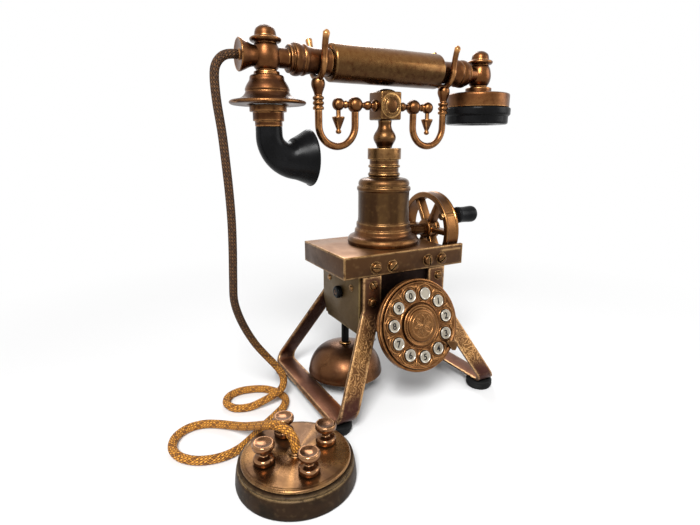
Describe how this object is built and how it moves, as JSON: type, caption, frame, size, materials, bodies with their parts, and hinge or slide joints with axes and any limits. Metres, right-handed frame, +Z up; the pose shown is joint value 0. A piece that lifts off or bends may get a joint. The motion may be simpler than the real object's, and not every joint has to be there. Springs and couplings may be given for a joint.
{
  "type": "desk telephone",
  "caption": "Cradle desk telephone with a finger dial, a crank-driven magneto, a bell gong on strap legs, a horn transmitter, and a cloth cord to a round terminal block.",
  "frame": {"origin": "centre of the underside of the telephone's own box, without the cord and the terminal block, on the surface it stands on", "axes": "+Z up; -Y towards the user, where the dial faces; +X towards the crank"},
  "size_m": [0.3338, 0.1988, 0.3056],
  "materials": {
    "bronze": "aged dark bronze, edges worn bright",
    "brass": "olive brass, satin, soft highlights",
    "copper": "worn copper, satin",
    "sheet": "brown patina, nearly matte",
    "iron": "dark brown, matte",
    "ebonite": "black, moulded, semi-gloss",
    "rubber": "black, matte",
    "silver": "silvered discs, satin",
    "steel": "plain steel",
    "winding": "lacquered coil covering",
    "wood": "dark stained, turned, waxed",
    "cloth": "braided cotton, brown, gold and black"
  },
  "bodies": {
    "base": {"top_plate": "sheet", "side_plate_left": "sheet", "side_plate_right": "sheet", "front_panel": "iron", "back_panel": "iron", "leg_loop_left": "copper", "leg_loop_right": "copper", "foot_front_left": "rubber", "foot_front_right": "rubber", "foot_back_left": "rubber", "foot_back_right": "rubber", "column_housing": "brass", "column_collar": "brass", "dial_case": "bronze", "dial_bracket": "iron", "finger_stop": "copper", "gong": "copper", "gong_post": "ebonite", "ringer_coils": "winding", "terminal_base": "wood", "terminal_disc": "copper", "cord": "cloth", "crank_bush": "brass", "armature_bush": "ebonite", "hook_spring": "steel"},
    "cradle": {"cradle_stem": "brass", "cradle_head": "bronze", "cradle_arm_left": "bronze", "cradle_arm_right": "bronze", "hook_left": "bronze", "hook_right": "bronze", "pendant_left": "bronze", "pendant_right": "bronze"},
    "handset": {"handle_tube": "bronze", "handle_end_left": "bronze", "handle_end_right": "bronze", "ball_joint_left": "bronze", "ball_joint_right": "bronze", "cord_gland": "bronze", "transmitter_bell": "bronze", "transmitter_throat": "bronze", "transmitter_capsule": "steel", "horn": "ebonite", "receiver_cup": "bronze", "earpiece": "ebonite", "receiver_magnet": "steel"},
    "dial": {"finger_wheel": "bronze", "number_ring": "silver", "dial_cap": "bronze"},
    "crank": {"crank_wheel": "copper", "crank_shaft": "steel", "handle_pin": "steel"},
    "grip": {"handle_grip": "ebonite"},
    "armature": {"armature": "iron", "friction_roller": "rubber"},
    "clapper": {"clapper": "steel"},
    "nut_1": {"thumb_nut_1": "bronze"},
    "nut_2": {"thumb_nut_2": "bronze"},
    "nut_3": {"thumb_nut_3": "bronze"},
    "nut_4": {"thumb_nut_4": "bronze"}
  },
  "joints": [
    {"name": "handset_lift", "type": "slide", "parent": "base", "child": "handset", "axis": [0, 0, 1], "range_m": [0, 0.06], "deforming": ["cord"]},
    {"name": "cradle_plunge", "type": "slide", "parent": "base", "child": "cradle", "axis": [0, 0, 1], "range_m": [0, 0.0062], "deforming": ["hook_spring"]},
    {"name": "dial_turn", "type": "hinge", "parent": "base", "child": "dial", "pos_m": [-0.0011, -0.05902, 0.0772], "axis": [0, 0.9664, -0.2571], "range_deg": [0, 300], "stiffness_Nm_per_rad": 0.01},
    {"name": "crank_turn", "type": "hinge", "parent": "base", "child": "crank", "pos_m": [0.0442, 0.00238, 0.1446], "axis": [1, 0, 0], "continuous": true},
    {"name": "grip_spin", "type": "hinge", "parent": "crank", "child": "grip", "pos_m": [0.0599, -0.02456, 0.16015], "axis": [1, 0, 0], "continuous": true},
    {"name": "armature_spin", "type": "hinge", "parent": "base", "child": "armature", "pos_m": [-0.0011, 0.00238, 0.096], "axis": [1, 0, 0], "continuous": true},
    {"name": "clapper_swing", "type": "hinge", "parent": "base", "child": "clapper", "pos_m": [-0.0031, 0.01238, 0.0705], "axis": [0, 1, 0], "range_deg": [-6, 1.2]},
    {"name": "nut_1_turn", "type": "hinge", "parent": "base", "child": "nut_1", "pos_m": [-0.1035, -0.08762, 0.027], "axis": [0, 0, 1], "range_deg": [0, 720]},
    {"name": "nut_2_turn", "type": "hinge", "parent": "base", "child": "nut_2", "pos_m": [-0.1261, -0.06502, 0.027], "axis": [0, 0, 1], "range_deg": [0, 720]},
    {"name": "nut_3_turn", "type": "hinge", "parent": "base", "child": "nut_3", "pos_m": [-0.1487, -0.08762, 0.027], "axis": [0, 0, 1], "range_deg": [0, 720]},
    {"name": "nut_4_turn", "type": "hinge", "parent": "base", "child": "nut_4", "pos_m": [-0.1261, -0.11022, 0.027], "axis": [0, 0, 1], "range_deg": [0, 720]}
  ],
  "couplings": [
    {"joint": "cradle_plunge", "follows": "handset_lift", "ratio": 0.1},
    {"joint": "armature_spin", "follows": "crank_turn", "ratio": -2.6045}
  ]
}
